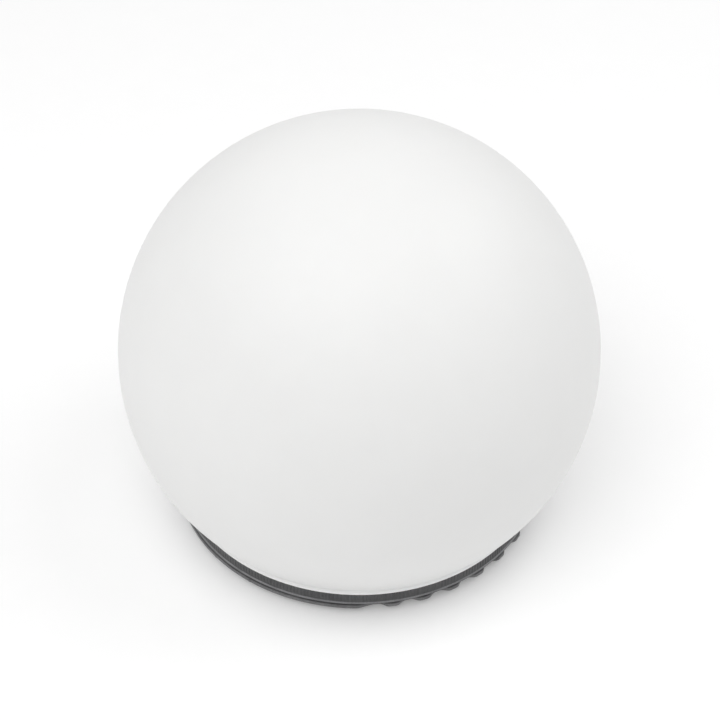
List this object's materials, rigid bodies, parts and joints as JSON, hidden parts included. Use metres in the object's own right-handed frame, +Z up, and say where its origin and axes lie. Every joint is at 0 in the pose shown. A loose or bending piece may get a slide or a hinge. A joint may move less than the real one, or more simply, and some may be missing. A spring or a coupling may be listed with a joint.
{
  "type": "floating pool light",
  "caption": "Floating globe light for a pool: a milk-white globe on a dark base, with a screw cap, a push switch and battery power.",
  "frame": {"origin": "middle of the foot ring that the light stands on, at its lowest point", "axes": "+Z up through the top of the globe, and the screw cap's two grip zones are centred on +X and -X"},
  "size_m": [0.15, 0.15, 0.131],
  "materials": {
    "milk_white": "satin, translucent",
    "dark_grey": "satin",
    "black_rubber": "matt",
    "black_plastic": "satin",
    "clear_plastic": "polished, clear",
    "board_white": "solder-mask lacquer",
    "led_yellow": "clear resin over phosphor",
    "steel": "zinc plated",
    "nickel": "nickel plated",
    "cell_jacket": "glossy film jacket",
    "red_lead": "smooth insulation",
    "black_lead": "smooth insulation"
  },
  "bodies": {
    "housing": {"globe": "milk_white", "globe_gasket": "black_rubber", "collar": "dark_grey", "deck": "black_plastic", "ballast_ring": "steel", "light_board": "board_white", "led_1": "led_yellow", "led_2": "led_yellow", "led_3": "led_yellow", "led_4": "led_yellow", "led_5": "led_yellow", "led_6": "led_yellow", "controller_chip": "black_plastic", "capacitor": "nickel", "resistor_1": "black_plastic", "resistor_2": "black_plastic", "light_cover": "clear_plastic", "switch_board": "board_white", "switch_body": "black_plastic", "switch_screw_1": "steel", "switch_screw_2": "steel", "battery_cell_1": "cell_jacket", "battery_cell_2": "cell_jacket", "battery_cell_3": "cell_jacket", "contact_spring_1": "nickel", "contact_spring_2": "nickel", "contact_spring_3": "nickel", "plus_contact_1": "nickel", "plus_contact_2": "nickel", "plus_contact_3": "nickel", "minus_contact_1": "nickel", "minus_contact_2": "nickel", "minus_contact_3": "nickel", "red_lead": "red_lead", "black_lead": "black_lead", "link_lead_1": "black_lead", "link_lead_2": "black_lead", "switch_lead_1": "red_lead", "switch_lead_2": "black_lead", "clamp_screw_1": "steel", "clamp_screw_2": "steel", "clamp_screw_3": "steel", "cover_screw_1": "steel", "cover_screw_2": "steel", "cover_screw_3": "steel", "board_screw_1": "steel", "board_screw_2": "steel", "board_screw_3": "steel"},
    "seal": {"cap_seal": "black_rubber"},
    "cap": {"screw_cap": "dark_grey", "boot_rim": "black_rubber", "button_retainer": "black_plastic"},
    "button": {"button": "black_rubber"},
    "plunger": {"switch_plunger": "milk_white"}
  },
  "joints": [
    {"name": "cap_drop", "type": "slide", "parent": "housing", "child": "seal", "axis": [0, 0, -1], "range_m": [0, 0.012]},
    {"name": "cap_turn", "type": "hinge", "parent": "seal", "child": "cap", "pos_m": [0, 0, 0], "axis": [0, 0, -1], "range_deg": [0, 360]},
    {"name": "button_press", "type": "slide", "parent": "cap", "child": "button", "axis": [0, 0, 1], "range_m": [0, 0.0012], "stiffness_N_per_m": 500, "springref_m": -0.002},
    {"name": "plunger_press", "type": "slide", "parent": "housing", "child": "plunger", "axis": [0, 0, 1], "range_m": [0, 0.0012]}
  ],
  "couplings": [
    {"joint": "cap_drop", "follows": "cap_turn", "m_per_rad": 0.0019098},
    {"joint": "plunger_press", "follows": "button_press", "ratio": 1}
  ]
}
